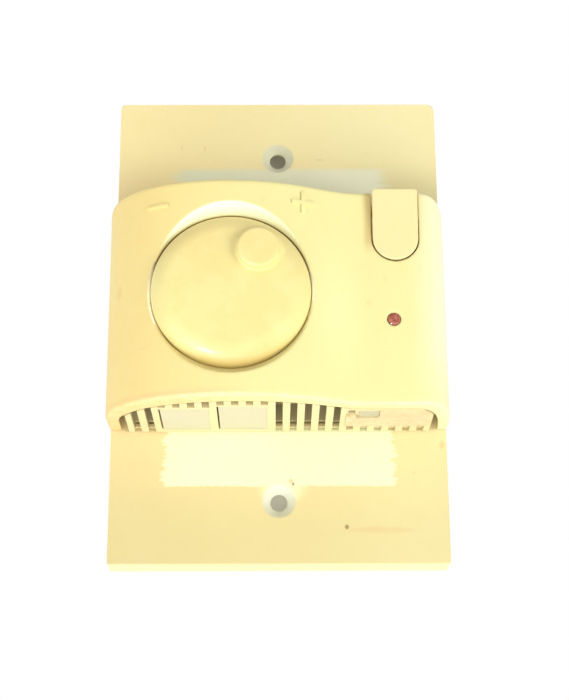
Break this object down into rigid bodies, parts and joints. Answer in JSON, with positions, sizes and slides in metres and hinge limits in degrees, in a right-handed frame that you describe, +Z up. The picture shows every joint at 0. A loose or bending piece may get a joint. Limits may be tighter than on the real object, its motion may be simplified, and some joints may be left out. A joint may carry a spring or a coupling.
{
  "type": "wall thermostat",
  "caption": "Room thermostat on a portrait wall plate: wave-fronted cover with a round set-point dial, tongue-shaped rocker key, red indicator lamp and slotted vents.",
  "frame": {"origin": "centre of the wall plate's back face, where it lies on the wall", "axes": "+Y into the wall, +Z up as it hangs, +X to the right seen from the room; the front faces -Y"},
  "size_m": [0.0758, 0.0367, 0.112],
  "materials": {
    "plate_plastic": "satin moulded, yellowed",
    "tray_plastic": "satin moulded",
    "cover_plastic": "semi-gloss moulded, yellowed",
    "grille_plastic": "satin moulded, less yellowed",
    "label_paper": "matte printed film, blank",
    "patch_grey": "matte",
    "dial_plastic": "semi-gloss moulded, yellowed",
    "key_plastic": "semi-gloss moulded, yellowed",
    "shaft_steel": "turned",
    "screw_steel": "zinc plated",
    "switch_black": "matte",
    "plunger_white": "satin",
    "lamp_red": "clear red epoxy",
    "holder_white": "satin",
    "board_tan": "bare phenolic board",
    "pot_green": "satin",
    "terminal_grey": "satin",
    "relay_black": "satin",
    "capacitor_yellow": "satin",
    "electrolytic_blue": "shrink sleeve",
    "chip_black": "matte",
    "resistor_tan": "lacquer",
    "thermistor_black": "epoxy"
  },
  "bodies": {
    "housing": {"wall_plate": "plate_plastic", "base_tray": "tray_plastic", "front_cover": "cover_plastic", "vent_grille_lower": "grille_plastic", "vent_grille_upper": "grille_plastic", "rating_label_left": "label_paper", "rating_label_right": "label_paper", "moulded_panel": "grille_plastic", "grey_patch": "patch_grey", "switch_body": "switch_black", "indicator_lamp": "lamp_red", "lamp_holder": "holder_white", "circuit_board": "board_tan", "potentiometer_body": "pot_green", "terminal_block": "terminal_grey", "terminal_screw_1": "screw_steel", "terminal_screw_2": "screw_steel", "terminal_screw_3": "screw_steel", "terminal_screw_4": "screw_steel", "relay": "relay_black", "film_capacitor": "capacitor_yellow", "electrolytic_capacitor": "electrolytic_blue", "control_chip": "chip_black", "resistor_1": "resistor_tan", "resistor_2": "resistor_tan", "resistor_3": "resistor_tan", "thermistor": "thermistor_black", "base_screw_left": "screw_steel", "base_screw_right": "screw_steel", "board_screw_1": "screw_steel", "board_screw_2": "screw_steel", "cover_screw": "screw_steel"},
    "setpoint_dial": {"dial": "dial_plastic", "pot_shaft": "shaft_steel"},
    "rocker": {"rocker_key": "key_plastic"},
    "plunger": {"switch_plunger": "plunger_white"}
  },
  "joints": [
    {"name": "dial_turn", "type": "hinge", "parent": "housing", "child": "setpoint_dial", "pos_m": [-0.0102, -0.0308, -0.0017], "axis": [0, 1, 0], "range_deg": [-76, 2]},
    {"name": "rocker_tilt", "type": "hinge", "parent": "housing", "child": "rocker", "pos_m": [0.0257, -0.0259, 0.016], "axis": [-1, 0, 0], "range_deg": [0, 11.4]},
    {"name": "plunger_travel", "type": "slide", "parent": "housing", "child": "plunger", "axis": [0, -1, 0], "range_m": [0, 0.0012]}
  ],
  "couplings": [
    {"joint": "plunger_travel", "follows": "rocker_tilt", "m_per_rad": 0.0058}
  ]
}
